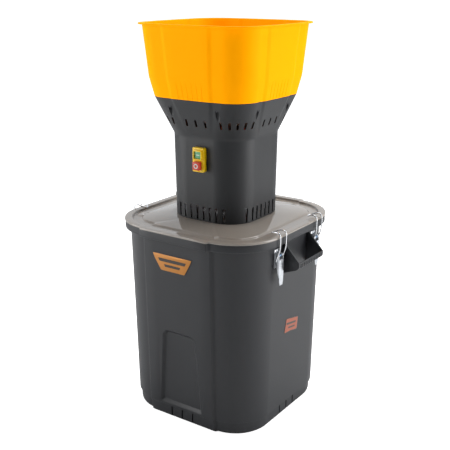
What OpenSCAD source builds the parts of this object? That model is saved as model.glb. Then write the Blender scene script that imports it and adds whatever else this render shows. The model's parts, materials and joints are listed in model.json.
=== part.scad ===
// Electric grain mill: a hopper and vented motor column latched on a square feed bin.
// Front is -Y, the handles and latches are on the +X and -X sides, the floor is z = 0.

/* [Bin] */
// Half width of the bin wall at the rim
bin_a = 187.8; // [187.4:0.1:188.2]
// How much the wall leans in per unit of height
bin_taper = 0.0216; // [0.018:0.0002:0.024]
// How far the front and back panels stand proud of the corner lobes
bin_panel = 6; // [4:0.5:7]
// Wall thickness of the bin
bin_wall = 3.5; // [3:0.1:4]
// Height of the bin's top face
bin_top = 461.6; // [461.4:0.1:461.8]
// Height of the narrower base band
base_h = 32; // [28:1:36]

/* [Lid] */
// Half width of the lid across the latches
lid_a = 200; // [199:0.5:201]
// Height of the lid's outer rim
lid_top = 466; // [465.8:0.1:466.2]
// Height of the plateau that carries the column
plateau_top = 471; // [470:0.5:472]

/* [Column] */
// Half width of the column at its foot
col_a = 101; // [100:0.5:102]
// Half width of the column where the funnel collar starts
col_top_a = 104; // [103.5:0.5:105]
// Height where the funnel collar starts
collar_z = 660; // [656:1:664]
// Wall thickness of the column and collar
col_wall = 3; // [2.6:0.1:3.4]

/* [Hopper] */
// Height of the seam between collar and hopper
seam_z = 744; // [742:1:746]
// Overall height at the hopper's rim
rim_z = 901; // [890:1:910]
// Half width of the hopper just under its rim
hopper_a = 149; // [146:1:151]
// Width of the turned-out lip
lip_w = 9; // [6:1:11]
// Wall thickness of the hopper
hopper_wall = 3; // [2.6:0.1:3.4]

/* [Feed] */
// Distance of the feed chute behind the motor axis
chute_y = 74; // [73:0.5:75]
// Outer radius of the feed chute
chute_r = 16; // [14:0.5:16]

/* [Latches] */
// Distance of each latch from the middle of the side
latch_y = 80; // [79:0.5:80]
// Diameter of the wire bail
wire_d = 3; // [2.6:0.1:3]

/* [Handles] */
// How far the grip bar stands out from the axis
grip_x = 230; // [226:1:234]
// Half length of the grip scoop
grip_half = 55; // [52:1:56]

/* [Hidden] */
$fn = 48;

charcoal = [0.24, 0.25, 0.25];
amber = [1, 0.69, 0];
zinc = [0.8, 0.82, 0.84];
steel = [0.62, 0.63, 0.65];
eps = 0.01;

// ---------- rounded-square rings ----------
// A level is [z, a, q, px, py, c, w, dy]: half width a, corner centre q, panels proud by
// px and py over a half length c with a crease w either side, centre moved by dy.
arc_n = 8;

function lobe(a, q, y) = y <= q ? a : q + sqrt(max(0, pow(a - q, 2) - pow(y - q, 2)));

function side_points(a, q, p, c, w, pn, cn) =
    let (r = a - q,
         f0 = asin(min(0.95, max(0, (c + w - q) / r))) + 2,
         f1 = 88 - asin(min(0.95, max(0, (cn + w - q) / r))))
    concat(
        [[a + p, w - c], [a + p, c - w], [lobe(a, q, c + w), c + w]],
        [for (i = [0:arc_n]) let (f = f0 + (f1 - f0) * i / arc_n) [q + r * cos(f), q + r * sin(f)]],
        [[cn + w, lobe(a, q, cn + w)]]
    );

function turn(points, k) =
    [for (p = points) k == 0 ? p : k == 1 ? [-p[1], p[0]] : k == 2 ? [-p[0], -p[1]] : [p[1], -p[0]]];

function ring(level) =
    let (a = level[1], q = level[2], px = level[3], py = level[4], c = level[5], w = level[6],
         dy = level[7],
         x_side = side_points(a, q, px, c, w, py, c),
         y_side = side_points(a, q, py, c, w, px, c))
    [for (p = concat(x_side, turn(y_side, 1), turn(x_side, 2), turn(y_side, 3)))
        [p[0], p[1] + dy, level[0]]];

function strip(i, j, n) = [for (k = [0:n - 1]) [i * n + k, j * n + k, j * n + (k + 1) % n, i * n + (k + 1) % n]];

// A solid through the rings in turn, capped at both ends.
module loft(levels) {
    rings = [for (level = levels) ring(level)];
    n = len(rings[0]);
    m = len(rings);
    walls = [for (i = [0:m - 2], f = strip(i, i + 1, n)) f];
    first = [for (k = [0:n - 1]) k];
    last = [for (k = [n - 1:-1:0]) (m - 1) * n + k];
    polyhedron([for (r = rings, p = r) p], concat(walls, [first, last]), convexity = 8);
}

// A closed shell whose section is the rings in turn, the last one joined to the first.
module shell(levels) {
    rings = [for (level = levels) ring(level)];
    n = len(rings[0]);
    m = len(rings);
    walls = [for (i = [0:m - 1], f = strip(i, (i + 1) % m, n)) f];
    polyhedron([for (r = rings, p = r) p], walls, convexity = 8);
}

// ---------- bin ----------
bin_q = 87.5;
bin_c = 92;
bin_crease = 3;
band_z = 444;
band_out = 12;
floor_t = 5;
base_step = 4.5;

function bin_half(z) = bin_a - bin_taper * (bin_top - z);
function bin_front(z) = bin_half(z) + bin_panel;

module bin_shell() {
    base_a = bin_half(base_h) - base_step;
    q = bin_q;
    p = bin_panel;
    loft([
        [0, base_a - 6, q, 0, p, bin_c, bin_crease, 0],
        [3, base_a - 2, q, 0, p, bin_c, bin_crease, 0],
        [8, base_a, q, 0, p, bin_c, bin_crease, 0],
        [base_h - 1, base_a, q, 0, p, bin_c, bin_crease, 0],
        [base_h, base_a + base_step, q, 0, p, bin_c, bin_crease, 0],
        [bin_top, bin_half(bin_top), q, 0, p, bin_c, bin_crease, 0],
        [bin_top, bin_half(bin_top) - bin_wall, q, 0, p, bin_c, bin_crease, 0],
        [base_h + 2, bin_half(base_h) - bin_wall, q, 0, p, bin_c, bin_crease, 0],
        [base_h - 2, base_a - bin_wall, q, 0, p, bin_c, bin_crease, 0],
        [floor_t + 4, base_a - bin_wall, q, 0, p, bin_c, bin_crease, 0],
        [floor_t, base_a - bin_wall - 4, q, 0, p, bin_c, bin_crease, 0]
    ]);
}

// Band round the top of the bin that the lid sits on.
module bin_rim() {
    gap = 0.05;
    band_a = bin_half(band_z) + band_out;
    q = bin_q;
    p = bin_panel;
    color(charcoal)
    shell([
        [band_z - 1.5, bin_half(band_z - 1.5) + gap, q, 0, p, bin_c, bin_crease, 0],
        [band_z - 1.5, bin_half(band_z) + 2, q, 0, p, bin_c, bin_crease, 0],
        [band_z, band_a - 1, q + 1, 0, p + 1.5, bin_c, bin_crease, 0],
        [band_z + 2, band_a, q + 1, 0, p + 1.5, bin_c, bin_crease, 0],
        [bin_top, band_a, q + 1, 0, p + 1.5, bin_c, bin_crease, 0],
        [bin_top, bin_half(bin_top) + gap, q, 0, p, bin_c, bin_crease, 0]
    ]);
}

panel_low = 39;
panel_high = 227;
panel_foot = 59;
panel_head = 46;
panel_depth = 6;
panel_round = 18;

// Outline of the sunken panel on the front and back, grown by g.
module panel_outline(g) {
    hull() {
        translate([0, panel_low + 2 - g]) square([2 * (panel_foot + g), 4], center = true);
        for (s = [-1, 1])
            translate([s * (panel_head - panel_round), panel_high - panel_round])
                circle(r = panel_round + g, $fn = 32);
    }
}

// Puts a flat shape drawn in x and height on the leaning front face, sunk by depth.
module on_front(depth, thick) {
    lean = atan(bin_taper);
    translate([0, -bin_front(0), 0])
        rotate([90 + lean, 0, 0])
            translate([0, 0, -depth])
                linear_extrude(thick) children();
}

module front_recess() {
    hull() {
        on_front(-1, 0.5) panel_outline(1);
        on_front(panel_depth, 0.5) panel_outline(-panel_depth);
    }
}

module base_notches() {
    for (k = [0:3])
        rotate(90 * k)
            for (x = [-30, 0, 30])
                translate([x - 2, -bin_front(0) + 1.5, -1]) cube([4, 7, base_h - 3]);
}

module bin() {
    color(charcoal)
    difference() {
        union() {
            bin_shell();
            on_front(panel_depth + bin_wall, bin_wall + panel_depth - 1.5) panel_outline(0);
            rotate(180) on_front(panel_depth + bin_wall, bin_wall + panel_depth - 1.5) panel_outline(0);
        }
        front_recess();
        rotate(180) front_recess();
        base_notches();
    }
}

// ---------- handles ----------
cheek_t = 4;
cheek_top = 442.2;
cheek_foot = 370;
bar_low = 384.5;
bar_high = 401;
bar_t = 5;
ledge_w = 12;
root = 1.5;

module handle() {
    wall_x = bin_half(400) - root;
    for (s = [-1, 1])
        translate([0, s * (grip_half - cheek_t / 2) + cheek_t / 2, 0])
            rotate([90, 0, 0])
                linear_extrude(cheek_t)
                    polygon([
                        [wall_x, cheek_foot], [grip_x - 6, bar_low], [grip_x, bar_low + 6],
                        [grip_x, bar_high], [bin_half(440) + 4, cheek_top], [wall_x, cheek_top]
                    ]);
    // The grip bar and the ledge that fingers curl over.
    translate([0, grip_half - cheek_t + eps, 0])
        rotate([90, 0, 0])
            linear_extrude(2 * (grip_half - cheek_t + eps))
                polygon([
                    [grip_x - 6, bar_low], [grip_x, bar_low + 6], [grip_x, bar_high],
                    [grip_x - 3, bar_high], [grip_x - bar_t, bar_low + 8],
                    [grip_x - ledge_w, bar_low + 5], [grip_x - ledge_w, bar_low - 1]
                ]);
    for (i = [-6:6])
        translate([grip_x - 0.5, i * 7.6 - 1.2, bar_low + 5]) cube([1.5, 2.4, 9]);
}

module bin_handle_right() {
    color(charcoal) handle();
}

module bin_handle_left() {
    color(charcoal) rotate(180) handle();
}

// ---------- lid ----------
lid_q = 90;
lid_panel = 7.5;
rim_w = 16.5;
groove_z = 461;
plateau_a = 155;
plateau_in = 112;
plateau_q = 45;
lid_t = 3;
mill_hole = 92.6;

// Half width of the step under the rim, which plugs the bin's mouth.
plug_a = bin_half(bin_top) - bin_wall - 0.3;

module lid_shell() {
    q = lid_q;
    p = lid_panel;
    step_q = bin_q + 0.5;
    shell([
        [bin_top, lid_a, q, 0, p, 92, 3, 0],
        [lid_top - 1, lid_a, q, 0, p, 92, 3, 0],
        [lid_top, lid_a - 1, q, 0, p, 92, 3, 0],
        [lid_top, lid_a - rim_w, step_q, 0, p - 1.5, 90, 3, 0],
        [groove_z, lid_a - rim_w - 2, step_q, 0, p - 1.5, 89, 3, 0],
        [groove_z, plateau_a + 4, 94, 0, p + 2, 93, 3, 0],
        [groove_z + 4, plateau_a, 95, 0, p + 2, 94, 3, 0],
        [plateau_top, plateau_in, plateau_q, 0, 3, 44, 3, 0],
        [plateau_top, mill_hole, 0, 0, 0, 10, 3, 0],
        [plateau_top - lid_t, mill_hole, 0, 0, 0, 10, 3, 0],
        [plateau_top - lid_t, plateau_in - 2, plateau_q, 0, 3, 44, 3, 0],
        [groove_z + 4 - lid_t, plateau_a - 2, 95, 0, p + 2, 94, 3, 0],
        [groove_z - lid_t, plateau_a + 2, 94, 0, p + 2, 93, 3, 0],
        [groove_z - lid_t, plug_a - 1, bin_q, 0, bin_panel, 89, 3, 0],
        [lid_top - lid_t, plug_a, bin_q, 0, bin_panel, 90, 3, 0],
        [lid_top - lid_t, lid_a - 3, q, 0, p, 92, 3, 0],
        [bin_top, lid_a - 3, q, 0, p, 92, 3, 0]
    ]);
}

bolt_at = 72;
bolt_r = 3;
bolt_hole = 3.3;

module at_bolts() {
    for (x = [-bolt_at, bolt_at], y = [-bolt_at, bolt_at]) translate([x, y, 0]) children();
}

module lid() {
    color([0.66, 0.62, 0.58])
    difference() {
        lid_shell();
        at_bolts() translate([0, 0, plateau_top - 10]) cylinder(r = bolt_hole, h = 20);
    }
}

module lid_gasket() {
    color([0.1, 0.1, 0.1])
    shell([
        [bin_top, lid_a - 5, lid_q, 0, lid_panel, 92, 3, 0],
        [lid_top - lid_t, lid_a - 5, lid_q, 0, lid_panel, 92, 3, 0],
        [lid_top - lid_t, lid_a - 10, lid_q, 0, lid_panel, 92, 3, 0],
        [bin_top, lid_a - 10, lid_q, 0, lid_panel, 92, 3, 0]
    ]);
}

// ---------- motor housing: column and funnel collar ----------
foot_t = 3;
seam_a = 131;
seam_q = 74;
col_q = 35;
seam_panel = 3;

function collar_at(z) = (z - collar_z) / (seam_z - collar_z);
function collar_a(z) = col_top_a + (seam_a - col_top_a) * collar_at(z);
function collar_q(z) = col_q + (seam_q - col_q) * collar_at(z);

panel_c = 31;
panel_spread = 21;
panel_crease = 6;

// Height of the extra ring that carries the curve of the collar.
collar_mid = 692;

function column_level(z, inset, proud) =
    z <= collar_z
        ? [z, col_a + (col_top_a - col_a) * (z - plateau_top) / (collar_z - plateau_top) - inset,
           col_q, 0, 0, panel_c, panel_crease, 0]
        : [z, collar_a(z) - inset, collar_q(z), proud * collar_at(z), proud * collar_at(z),
           panel_c + panel_spread * collar_at(z), panel_crease, 0];

slot_w = 5.6;
slot_pitch = 17;
slot_low = 473.5;
slot_high = 505;

module column_slots() {
    for (k = [0:3])
        rotate(90 * k)
            for (i = [-3.5:1:3.5])
                translate([i * slot_pitch - slot_w / 2, -col_top_a - 5, slot_low + foot_t])
                    cube([slot_w, 20, slot_high - slot_low - foot_t]);
}

vent_w = 5.5;
vent_low = 684.5;
vent_high = 700.5;

// Cuts through the collar pointing outward along an angle, starting at a given point.
module vent(x, y, angle) {
    translate([x, y, vent_low])
        rotate(angle)
            translate([-14, -vent_w / 2, 0]) cube([34, vent_w, vent_high - vent_low]);
}

module collar_vents() {
    lobe_q = collar_q(collar_mid);
    lobe_r = collar_a(collar_mid) - lobe_q;
    for (k = [0:3])
        rotate(90 * k) {
            for (x = [-25, 0, 25]) vent(x, -collar_a(collar_mid), -90);
            for (f = [12.5, 29.5, 45, 60.5, 77.5])
                vent(lobe_q + lobe_r * cos(f), -lobe_q - lobe_r * sin(f), -f);
        }
}

well_x = 62;
well_y = 122;
well_r = 5;
well_low = 690;
well_top = 726;
boss_low = 700;
screw_r = 2;

module at_wells() {
    for (k = [0:3], s = [-1, 1]) rotate(90 * k) translate([s * well_x, -well_y, 0]) children();
}

module column_outside() {
    loft([
        column_level(plateau_top, 0, 0), column_level(collar_z - 1, 0, 0),
        column_level(collar_z + 1, 0, seam_panel), column_level(collar_mid, 0, seam_panel),
        column_level(seam_z, 0, seam_panel)
    ]);
}

// The hollow inside, less the bosses that carry the hopper screws.
module column_inside() {
    difference() {
        loft([
            column_level(plateau_top + foot_t, col_wall, 0), column_level(collar_z - 1, col_wall, 0),
            column_level(collar_z + 1, col_wall, seam_panel), column_level(collar_mid, col_wall, seam_panel),
            column_level(seam_z + 1, col_wall, seam_panel)
        ]);
        at_wells() translate([0, 0, boss_low]) cylinder(r = well_r + 2, h = seam_z - boss_low);
    }
}

module motor_housing() {
    z0 = plateau_top;
    color(charcoal)
    difference() {
        column_outside();
        column_inside();
        translate([0, 0, z0 - 1]) cylinder(r = mill_hole, h = foot_t + 2);
        column_slots();
        collar_vents();
        at_wells() {
            translate([0, 0, well_low]) cylinder(r = well_r, h = well_top - well_low);
            translate([0, 0, well_top - 2]) cylinder(r = screw_r + 0.2, h = 30);
        }
        at_bolts() translate([0, 0, z0 - 1]) cylinder(r = bolt_hole, h = foot_t + 2);
        translate([gland_x, col_a - 10, gland_z]) rotate([-90, 0, 0]) cylinder(r = gland_r, h = 30);
        translate([-shutter_w / 2 - 0.5, 90, shutter_z - 0.5]) cube([shutter_w + 1, 60, shutter_t + 1]);
    }
}

// ---------- hopper ----------
throat_r = 13;
throat_z = seam_z + 0.6;
funnel_z = 776;
// Ring where the hopper's side turns from the steep funnel part to the near-upright part.
break_z = 786;
break_a = 139.4;
break_q = 81.2;
rim_q = 86;

module hopper() {
    w = hopper_wall;
    lip_a = hopper_a + lip_w;
    color(amber)
    shell([
        [seam_z, seam_a, seam_q, 3, 3, 53, 7, 0],
        [756, 133.3, 76, 3, 3, 54, 7, 0],
        [774, 136.9, 79.5, 3, 3, 55, 7, 0],
        [break_z, break_a, break_q, 3, 3, 56, 7, 0],
        [rim_z - 12, hopper_a - 0.6, rim_q, 3, 3, 61, 7, 0],
        [rim_z - 3, hopper_a + 0.4, rim_q, 3, 3, 61, 7, 0],
        [rim_z - 3, lip_a - 1, rim_q, 3, 3, 61, 7, 0],
        [rim_z - 2, lip_a, rim_q, 3, 3, 61, 7, 0],
        [rim_z - 1, lip_a, rim_q, 3, 3, 61, 7, 0],
        [rim_z, lip_a - 1, rim_q, 3, 3, 61, 7, 0],
        [rim_z, hopper_a - w + 1, rim_q, 3, 3, 61, 7, 0],
        [break_z, break_a - w, break_q, 3, 3, 56, 7, 0],
        [funnel_z, 137.2 - w, 79.5, 3, 3, 55, 7, 0],
        [throat_z + 8, throat_r + 5, 0, 0, 0, 3, 1, chute_y],
        [throat_z + 5, throat_r, 0, 0, 0, 3, 1, chute_y],
        [throat_z, throat_r, 0, 0, 0, 3, 1, chute_y],
        [throat_z, throat_r + 8, 0, 0, 0, 3, 1, chute_y],
        [funnel_z - w - 1, 136.4 - w, 79.2, 3, 3, 55, 7, 0],
        [seam_z, seam_a - w, seam_q, 3, 3, 53, 7, 0]
    ]);
}

module hopper_screws() {
    color(steel)
    at_wells() {
        difference() {
            translate([0, 0, 723.2]) cylinder(r = 3.6, h = 2.8);
            translate([-0.5, -3, 722.5]) cube([1, 6, 1.5]);
        }
        translate([0, 0, 726]) cylinder(r = screw_r, h = seam_z - 726.3);
    }
}

// ---------- feed shutter and chute ----------
shutter_w = 42;
shutter_t = 1.6;
shutter_z = seam_z - 1.9;
rail_top = seam_z + 0.1;

module feed_shutter() {
    start = chute_y - 22;
    color(steel)
    difference() {
        union() {
            translate([-shutter_w / 2 + 0.6, start, shutter_z])
                cube([shutter_w - 1.2, 150 - start, shutter_t]);
            translate([-shutter_w / 2 + 0.6, 150, shutter_z - 10]) cube([shutter_w - 1.2, 1.6, 10 + shutter_t]);
        }
        translate([0, 143, shutter_z - 1]) cylinder(r = 4, h = 5);
    }
}

module shutter_guides() {
    top = shutter_z - 0.35;
    color(charcoal)
    difference() {
        union() {
            translate([-27, chute_y - 26, top - 3]) cube([54, 44, 3]);
            for (s = [-1, 1])
                translate([s * 24.5 - 2.5, chute_y - 26, top - eps]) cube([5, 44, rail_top - top + eps]);
            translate([0, chute_y, top - 12]) cylinder(r = chute_r + 3, h = 10);
        }
        translate([0, chute_y, top - 20]) cylinder(r = chute_r + 0.05, h = 17.1);
        translate([0, chute_y, top - 5]) cylinder(r = chute_r - 2, h = 10);
    }
}

module feed_chute() {
    low = plateau_top + foot_t + plate_t;
    high = shutter_z - 0.35 - 3.2;
    color([0.5, 0.52, 0.54])
    translate([0, chute_y, low])
    difference() {
        cylinder(r = chute_r, h = high - low);
        translate([0, 0, -1]) cylinder(r = chute_r - 2, h = high - low + 2);
    }
}

module head_bolts() {
    low = plateau_top - lid_t;
    top = plateau_top + foot_t + plate_t;
    color(steel)
    at_bolts() {
        translate([0, 0, top]) cylinder(r = 5, h = 4);
        translate([0, 0, low - 8]) cylinder(r = bolt_r, h = top - low + 8.5);
        translate([0, 0, low - 5]) cylinder(r = 5.6, h = 5, $fn = 6);
    }
}

// ---------- switch ----------
switch_x = 4.5;
switch_z = 613;
switch_w = 30;
switch_h = 54;
switch_y = -103.8;
switch_t = 11;
button_w = 18;
start_out = 1;
stop_out = 9;
start_z = 624;
stop_z = 600.5;
start_h = 16;
stop_h = 18;
button_gap = 0.4;
press_travel = 3;

module switch_base() {
    front = switch_y - switch_t;
    color([1, 0.8, 0])
    difference() {
        union() {
            translate([switch_x - switch_w / 2, front, switch_z - switch_h / 2])
                cube([switch_w, switch_t, switch_h]);
            // Guard frame round the start button.
            translate([switch_x - button_w / 2 - 3, front - 4, start_z - start_h / 2 - 3])
                cube([button_w + 6, 5, start_h + 6]);
        }
        for (b = [[start_z, start_h], [stop_z, stop_h]])
            translate([switch_x - button_w / 2 - button_gap, front - 10, b[0] - b[1] / 2 - button_gap])
                cube([button_w + 2 * button_gap, switch_t + 8, b[1] + 2 * button_gap]);
    }
}

module button(z, h, out) {
    front = switch_y - switch_t - out;
    back = switch_y - 2 - press_travel - 0.5;
    translate([switch_x - button_w / 2, front, z - h / 2]) cube([button_w, back - front, h]);
}

module start_button() {
    color([0.3, 0.62, 0.4]) button(start_z, start_h, start_out);
}

module stop_button() {
    color([0.85, 0.2, 0.12]) button(stop_z, stop_h, stop_out);
}

// ---------- cable gland, at the back ----------
gland_x = -20;
gland_z = 540;
gland_r = 9;
cord_hole_r = 4.2;

module cable_gland() {
    wall_y = col_a + (col_top_a - col_a) * (gland_z - plateau_top) / (collar_z - plateau_top);
    color([0.12, 0.12, 0.12])
    translate([gland_x, wall_y, gland_z])
    rotate([-90, 0, 0])
    difference() {
        union() {
            translate([0, 0, -8]) cylinder(r = gland_r - 0.1, h = 10);
            translate([0, 0, 0.3]) cylinder(r = 13, h = 5, $fn = 6);
            translate([0, 0, 5]) cylinder(r = 10, h = 12);
            translate([0, 0, -7.5]) cylinder(r = 13, h = 4, $fn = 6);
        }
        translate([0, 0, -10]) cylinder(r = cord_hole_r, h = 40);
        translate([0, 0, -10]) cylinder(r = cord_hole_r + 1.3, h = 11);
    }
}

// ---------- motor ----------
plate_t = 4;
plate_z = plateau_top + foot_t;
stack_low = 560;
stack_high = 640;
stack_half = 50;
shaft_r = 7;
shaft_fit = 0.05;
rotor_r = 30;
rod_at = 42;

module trimmed_square(half, r, h) {
    intersection() {
        translate([-half, -half, 0]) cube([2 * half, 2 * half, h]);
        cylinder(r = r, h = h);
    }
}

module motor_plate() {
    color(steel)
    difference() {
        translate([0, 0, plate_z]) trimmed_square(95, 108, plate_t);
        translate([0, 0, plate_z - 1]) cylinder(r = 13, h = 10);
        translate([0, chute_y, plate_z - 1]) cylinder(r = chute_r - 2, h = 10);
        at_bolts() translate([0, 0, plate_z - 1]) cylinder(r = bolt_hole, h = 10);
        at_studs() translate([0, 0, plate_z - 1]) cylinder(r = stud_r + 0.05, h = 10);
    }
}

shield_low = plate_z + plate_t;

module lower_end_shield() {
    color([0.75, 0.76, 0.78])
    difference() {
        union() {
            translate([0, 0, shield_low]) trimmed_square(52, 64, 6);
            translate([0, 0, shield_low]) cylinder(r = 23, h = 18);
        }
        translate([0, 0, shield_low - 1]) cylinder(r = 11, h = 30);
        translate([0, 0, shield_low + 6]) cylinder(r = 17.5, h = 30);
        at_rods() translate([0, 0, shield_low - 1]) cylinder(r = 2.55, h = 10);
    }
}

module bearing(z, outer, h) {
    translate([0, 0, z])
    difference() {
        cylinder(r = outer, h = h);
        translate([0, 0, -1]) cylinder(r = shaft_r + shaft_fit, h = h + 2);
    }
}

module lower_bearing() {
    color(steel) bearing(shield_low + 6, 17.45, 11);
}

fan_z = 508;
fan_r = 46;

module cooling_fan() {
    color([0.78, 0.77, 0.72])
    difference() {
        union() {
            translate([0, 0, fan_z]) cylinder(r = fan_r, h = 2.5);
            translate([0, 0, fan_z]) cylinder(r = 13, h = 18);
            for (i = [0:11])
                rotate(30 * i)
                    translate([11, -1, fan_z + 1]) rotate([0, 0, 8]) cube([fan_r - 13, 2, 15]);
        }
        translate([0, 0, fan_z - 1]) cylinder(r = shaft_r + shaft_fit, h = 30);
    }
}

module stator_core() {
    color([0.35, 0.35, 0.37])
    difference() {
        translate([0, 0, stack_low]) trimmed_square(stack_half, 64, stack_high - stack_low);
        translate([0, 0, stack_low - 1]) cylinder(r = rotor_r + 1, h = 100);
        at_rods() translate([0, 0, stack_low - 1]) cylinder(r = 2.7, h = 100);
    }
}

coil_h = 24;

module coil_ring(z) {
    translate([0, 0, z])
        rotate_extrude($fn = 64)
            translate([34, 0])
                polygon([[2, 0], [13, 0], [15, 3], [15, coil_h - 5], [11, coil_h], [4, coil_h], [0, coil_h - 5], [0, 3]]);
}

module field_coils() {
    color([0.75, 0.16, 0.08]) {
        coil_ring(stack_high);
        translate([0, 0, 2 * stack_low]) mirror([0, 0, 1]) coil_ring(stack_low);
    }
}

module armature() {
    color([0.5, 0.45, 0.4])
    difference() {
        union() {
            translate([0, 0, stack_low]) cylinder(r = rotor_r, h = stack_high - stack_low);
            translate([0, 0, stack_low - 14]) cylinder(r = 24, h = 14 + eps);
            translate([0, 0, stack_high - eps]) cylinder(r = 24, h = 12);
        }
        translate([0, 0, stack_low - 20]) cylinder(r = shaft_r + shaft_fit, h = 130);
    }
}

comm_z = 655;

module commutator() {
    color([0.8, 0.5, 0.25])
    difference() {
        translate([0, 0, comm_z]) cylinder(r = 16, h = 20);
        translate([0, 0, comm_z - 1]) cylinder(r = shaft_r + shaft_fit, h = 30);
    }
}

shield_top = 682;

module brush_holders() {
    color([0.15, 0.13, 0.12])
    for (s = [0, 180])
        rotate(s) {
            translate([16.6, -4, comm_z + 12]) cube([12, 8, 8]);
            translate([20, -6, comm_z + 11]) cube([24, 12, shield_top - comm_z - 11]);
        }
}

module upper_end_shield() {
    color([0.75, 0.76, 0.78])
    difference() {
        translate([0, 0, shield_top]) trimmed_square(52, 64, 14);
        for (k = [0:3]) rotate(90 * k) translate([18, -12, shield_top - 1]) cube([27, 24, 16]);
        translate([0, 0, shield_top - 1]) cylinder(r = 10, h = 30);
        translate([0, 0, shield_top + 4]) cylinder(r = 15, h = 30);
        at_rods() translate([0, 0, shield_top - 1]) cylinder(r = 2.55, h = 30);
    }
}

module upper_bearing() {
    color(steel) bearing(shield_top + 4, 14.95, 9);
}

module at_rods() {
    for (x = [-rod_at, rod_at], y = [-rod_at, rod_at]) translate([x, y, 0]) children();
}

module tie_rods() {
    color(steel)
    at_rods() {
        translate([0, 0, shield_low]) cylinder(r = 2.5, h = shield_top + 14 - shield_low);
        translate([0, 0, shield_top + 14]) cylinder(r = 4.5, h = 4, $fn = 6);
        translate([0, 0, shield_low + 6]) cylinder(r = 5, h = stack_low - shield_low - 6);
        translate([0, 0, stack_high]) cylinder(r = 5, h = shield_top - stack_high);
    }
}

shaft_low = 440;

module motor_shaft() {
    color(steel)
    translate([0, 0, shaft_low]) cylinder(r = shaft_r, h = shield_top + 15 - shaft_low);
}

// ---------- milling chamber under the lid ----------
sieve_r = 90;
sieve_low = 430;
stud_at = 84;
stud_r = 2.5;
blade_z = 449;

module at_studs() {
    for (k = [0:2]) rotate(120 * k - 30) translate([stud_at, 0, 0]) children();
}

module sieve_ring() {
    color(steel)
    difference() {
        translate([0, 0, sieve_low]) cylinder(r = sieve_r, h = plate_z - sieve_low);
        translate([0, 0, sieve_low - 1]) cylinder(r = sieve_r - 1.5, h = 60);
        for (j = [0:1], i = [0:29])
            rotate(12 * i + 6 * j)
                translate([sieve_r - 6, 0, sieve_low + 10 + 10 * j])
                    rotate([0, 90, 0]) cylinder(r = 3, h = 12, $fn = 16);
    }
}

module chamber_floor() {
    color(steel)
    difference() {
        translate([0, 0, sieve_low - 3]) cylinder(r = sieve_r + 1, h = 3);
        at_studs() translate([0, 0, sieve_low - 5]) cylinder(r = stud_r + 0.05, h = 10);
    }
}

module chamber_studs() {
    color(steel)
    at_studs() translate([0, 0, sieve_low - 14]) cylinder(r = stud_r, h = plate_z + plate_t - sieve_low + 14);
}

module wing_nuts() {
    color([0.8, 0.7, 0.4])
    at_studs()
    difference() {
        union() {
            translate([0, 0, sieve_low - 10]) cylinder(r = 5, h = 7);
            translate([-1.2, -13, sieve_low - 11]) cube([2.4, 26, 6]);
        }
        translate([0, 0, sieve_low - 15]) cylinder(r = stud_r + 0.05, h = 20);
    }
}

module mill_blade() {
    color(steel)
    difference() {
        translate([0, 0, blade_z])
            linear_extrude(3)
                polygon([[-74, -6], [-66, -13], [-12, -13], [66, -13], [74, -9], [74, 6], [66, 13], [-66, 13], [-74, 9]]);
        translate([0, 0, blade_z - 1]) cylinder(r = shaft_r + shaft_fit, h = 10);
    }
}

module blade_hub() {
    color([0.45, 0.46, 0.48])
    difference() {
        translate([0, 0, blade_z + 3]) cylinder(r = 12, h = plate_z - 1 - blade_z - 3);
        translate([0, 0, blade_z]) cylinder(r = shaft_r + shaft_fit, h = 40);
    }
}

module blade_nut() {
    color(steel)
    difference() {
        translate([0, 0, shaft_low + 1]) cylinder(r = 12, h = blade_z - shaft_low - 1, $fn = 6);
        translate([0, 0, shaft_low - 1]) cylinder(r = shaft_r + shaft_fit, h = 20);
    }
}

// ---------- over-centre latches ----------
pin_x = 195.5;
pin_z = 421;
bail_x = 193;
bail_z = 409;
ear_y = 5.2;
ear_t = 1.6;
cheek_y = 8;
lever_t = 1.4;
arm_y = 12;
lever_foot = 354;
lever_face = 200.6;
hook_x = 176;

// Places a latch: k counts +X front, +X back, -X front, -X back.
module at_latch(k) {
    side = k < 2 ? 0 : 180;
    y = (k == 0 || k == 3) ? -latch_y : latch_y;
    rotate(side) translate([0, y, 0]) children();
}

module plate_xz(y, t, points) {
    translate([0, y + t, 0]) rotate([90, 0, 0]) linear_extrude(t) polygon(points);
}

bracket_low = 392;
bracket_high = 434;
rivet_low = 397;
rivet_high = 431;

module latch_bracket(k) {
    gap = 0.05;
    back_low = bin_half(bracket_low) + gap;
    back_high = bin_half(bracket_high) + gap;
    color(zinc)
    at_latch(k)
    difference() {
        union() {
            plate_xz(-9, 18, [
                [back_low, bracket_low], [back_low + 1.4, bracket_low],
                [back_high + 1.4, bracket_high], [back_high, bracket_high]
            ]);
            for (y = [-ear_y - ear_t, ear_y])
                plate_xz(y, ear_t, [
                    [back_low + 1, pin_z - 12], [pin_x - 1, pin_z - 4], [pin_x + 3.4, pin_z - 2.4],
                    [pin_x + 3.4, pin_z + 2.4], [pin_x, pin_z + 4], [back_high + 1, pin_z + 9]
                ]);
        }
        translate([pin_x, -20, pin_z]) rotate([-90, 0, 0]) cylinder(r = 2.02, h = 40);
        for (z = [rivet_low, rivet_high])
            translate([bin_half(z) - 5, 0, z]) rotate([0, 90, 0]) cylinder(r = 2.05, h = 12);
    }
}

module latch_rivets() {
    color(zinc)
    for (k = [0:3], z = [rivet_low, rivet_high])
        at_latch(k)
            translate([bin_half(z) + 0.3, 0, z]) rotate([0, 90, 0]) {
                cylinder(r = 2, h = 2.2);
                translate([0, 0, 1.9]) cylinder(r = 3.4, h = 1.2);
            }
}

module latch_pins() {
    color([0.6, 0.66, 0.74])
    for (k = [0:3])
        at_latch(k)
            translate([pin_x, 0, pin_z]) rotate([90, 0, 0]) {
                translate([0, 0, -10.2]) cylinder(r = 2, h = 20.4);
                translate([0, 0, -ear_y + 0.1]) cylinder(r = 3.6, h = 2 * ear_y - 0.2);
            }
}

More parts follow.
